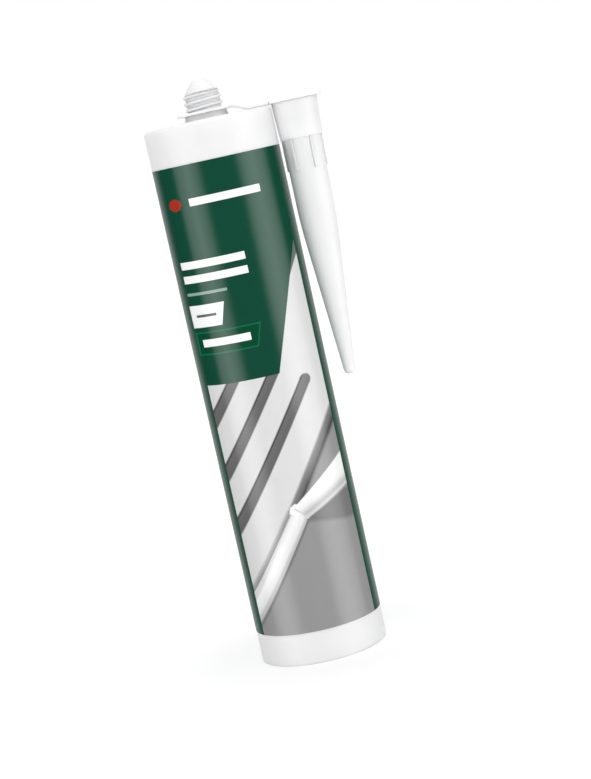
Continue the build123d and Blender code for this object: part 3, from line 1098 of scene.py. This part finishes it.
class BuildStage(bpy.types.Operator):
    """Lay the floor, light it and set the camera"""

    bl_idname = "caulk_tube.build_stage"
    bl_label = "Stage"

    def build_floor(self, colours):
        """A wide level board. It throws no reflection, so the label's gloss shows the soft boxes alone."""
        deselect_all()
        bpy.ops.mesh.primitive_plane_add(size=60, location=(0, 0, 0))
        floor = bpy.context.active_object
        floor.name = "floor"
        floor.data.materials.append(pale_floor("matt_painted_board", tuple(colours.floor)))
        floor.visible_glossy = False

    def build_room(self, studio):
        """The soft light all round: it is even on the floor, and the gloss sees two upright soft boxes."""
        world = bpy.data.worlds.new("studio")
        bpy.context.scene.world = world
        world.use_nodes = True
        world.cycles.sampling_method = "NONE"
        tree = world.node_tree
        tree.nodes.clear()
        toward = add_node(tree, "ShaderNodeTexCoord").outputs["Generated"]
        axis = add_node(tree, "ShaderNodeSeparateXYZ", links={"Vector": toward})
        away = add_node(tree, "ShaderNodeMath", {"operation": "MULTIPLY", 1: -1.0}, {0: axis.outputs["Y"]})
        round_about = add_node(
            tree,
            "ShaderNodeMath",
            {"operation": "ARCTAN2"},
            {0: axis.outputs["X"], 1: away.outputs["Value"]},
        )
        turned = add_node(
            tree,
            "ShaderNodeMapRange",
            {"From Min": -math.pi, "From Max": math.pi},
            {"Value": round_about.outputs["Value"]},
        )
        # Brightness by the angle from the front, in degrees: a rear ground and two boxes with soft sides
        rear = studio.rear_light
        box = studio.box_light
        angles = [
            (-180, rear),
            (-146, rear),
            (-124, 0),
            (-88, 0),
            (-80, 0.5 * box),
            (-57, box),
            (-40, 0.6 * box),
            (-27, 0),
            (31, 0),
            (45, 0.75 * box),
            (58, box),
            (68, box),
            (90, 0.5 * box),
            (103, 0),
            (124, 0),
            (146, rear),
            (180, rear),
        ]
        brightest = max(level for angle, level in angles)
        stops = [((angle + 180) / 360, 3 * (level / brightest,) + (1.0,)) for angle, level in angles]
        ring = add_node(tree, "ShaderNodeValToRGB", {"stops": stops}, {"Fac": turned.outputs["Result"]})
        gloss = add_node(
            tree,
            "ShaderNodeVectorMath",
            {"operation": "SCALE", "Scale": brightest},
            {0: ring.outputs["Color"]},
        )
        # The room's own light is dimmer toward the two sides
        level = studio.room_light
        left = studio.left_light
        right = studio.right_light
        sides = [(-0.98, left), (-0.45, level), (0.45, level), (0.98, right)]
        stops = [((across + 1) / 2, 3 * (bright / level,) + (1.0,)) for across, bright in sides]
        spread = add_node(tree, "ShaderNodeMapRange", {"From Min": -1.0}, {"Value": axis.outputs["X"]})
        tone = add_node(tree, "ShaderNodeValToRGB", {"stops": stops}, {"Fac": spread.outputs["Result"]})
        tone.color_ramp.interpolation = "EASE"
        room = add_node(
            tree, "ShaderNodeVectorMath", {"operation": "SCALE", "Scale": level}, {0: tone.outputs["Color"]}
        )
        path = add_node(tree, "ShaderNodeLightPath")
        seen = add_node(
            tree,
            "ShaderNodeMix",
            {"data_type": "RGBA"},
            {"Factor": path.outputs["Is Glossy Ray"], 6: room.outputs["Vector"], 7: gloss.outputs["Vector"]},
        )
        shown = add_node(
            tree,
            "ShaderNodeMix",
            {"data_type": "RGBA", 7: (1.0, 1.0, 1.0, 1.0)},
            {"Factor": path.outputs["Is Camera Ray"], 6: seen.outputs[2]},
        )
        background = add_node(tree, "ShaderNodeBackground", links={"Color": shown.outputs[2]})
        add_node(tree, "ShaderNodeOutputWorld", links={"Surface": background.outputs["Background"]})

    def build_lamp(self, name, spot, brightness):
        """A soft square lamp that faces the tube, and that the gloss doesn't mirror."""
        deselect_all()
        spot = Vector(spot)
        target = Vector((0, 0, 0.15))
        side = 0.7
        bpy.ops.object.light_add(type="AREA", location=spot)
        lamp = bpy.context.active_object
        lamp.name = name
        lamp.rotation_mode = "QUATERNION"
        lamp.rotation_quaternion = (target - spot).to_track_quat("-Z", "Y")
        lamp.data.size = side
        lamp.data.energy = math.pi * side * side * brightness
        lamp.visible_glossy = False
        return lamp

    def build_fill(self, studio):
        """A lamp for the nozzle alone, which the barrel would otherwise shade."""
        nozzle = bpy.data.objects.get("nozzle_moulding")
        if nozzle is None:
            raise RuntimeError("the nozzle must be built before the stage")
        lamp = self.build_lamp("nozzle_fill", (-0.75, -0.45, 0.15), studio.fill_light)
        lit = bpy.data.collections.new("lit_by_the_fill")
        lit.objects.link(nozzle)
        lamp.light_linking.receiver_collection = lit
        lamp.light_linking.blocker_collection = lit
        # The label's gloss shows the soft boxes alone, without the nozzle
        nozzle.visible_glossy = False

    def build_camera(self, studio):
        """The camera in front of the tube, looking a little down, and leaning."""
        pitch = studio.camera_pitch
        yaw = studio.camera_yaw
        roll = studio.camera_roll
        forward = Vector(
            (math.sin(yaw) * math.cos(pitch), math.cos(yaw) * math.cos(pitch), -math.sin(pitch))
        )
        level = Vector((math.cos(yaw), -math.sin(yaw), 0))
        upright = level.cross(forward)
        across = math.cos(roll) * level - math.sin(roll) * upright
        up = math.sin(roll) * level + math.cos(roll) * upright
        bpy.ops.object.camera_add()
        camera = bpy.context.active_object
        camera.name = "camera"
        camera.matrix_world = (
            Matrix.Translation((0, -studio.camera_distance, studio.camera_height))
            @ Matrix((across, up, -forward)).transposed().to_4x4()
        )
        camera.data.lens = studio.camera_lens
        camera.data.sensor_width = 36
        camera.data.clip_start = 0.01
        camera.data.clip_end = 200
        bpy.context.scene.camera = camera

    def execute(self, context):
        studio = context.scene.studio_settings
        context.scene.view_settings.view_transform = "Standard"
        self.build_floor(context.scene.tube_colours)
        self.build_room(studio)
        self.build_lamp("key_light", (0.45, -0.95, 0.3), studio.key_light)
        self.build_fill(studio)
        self.build_camera(studio)
        return {"FINISHED"}


OPERATORS = (BuildCartridge, BuildLabel, BuildPiston, BuildSealant, BuildNozzle, BuildStage)


class CaulkTubePanel(bpy.types.Panel):
    """Lists the sizes, the colours and the steps that model the tube"""

    bl_idname = "VIEW3D_PT_caulk_tube"
    bl_label = "Caulk Tube"
    bl_space_type = "VIEW_3D"
    bl_region_type = "UI"
    bl_category = "Caulk Tube"

    def draw(self, context):
        layout = self.layout
        for step in OPERATORS:
            layout.operator(step.bl_idname)
        for group in GROUPS:
            box = layout.box()
            settings = getattr(context.scene, group)
            for name in settings.bl_rna.properties.keys():
                if name not in ("rna_type", "name"):
                    box.prop(settings, name)


GROUPS = {
    "cartridge_sizes": CartridgeSizes,
    "label_sizes": LabelSizes,
    "nozzle_sizes": NozzleSizes,
    "tube_colours": TubeColours,
    "studio_settings": StudioSettings,
}
CLASSES = tuple(GROUPS.values()) + OPERATORS + (CaulkTubePanel,)


def register():
    for kind in CLASSES:
        bpy.utils.register_class(kind)
    for name, kind in GROUPS.items():
        setattr(bpy.types.Scene, name, PointerProperty(type=kind))


def unregister():
    for name in GROUPS:
        delattr(bpy.types.Scene, name)
    for kind in reversed(CLASSES):
        bpy.utils.unregister_class(kind)


def main():
    """Register the add-on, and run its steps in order."""
    register()
    bpy.ops.caulk_tube.build_cartridge()
    bpy.ops.caulk_tube.build_label()
    bpy.ops.caulk_tube.build_piston()
    bpy.ops.caulk_tube.build_sealant()
    bpy.ops.caulk_tube.build_nozzle()
    bpy.ops.caulk_tube.build_stage()
    deselect_all()
    bpy.context.view_layer.update()


if __name__ == "__main__":
    main()
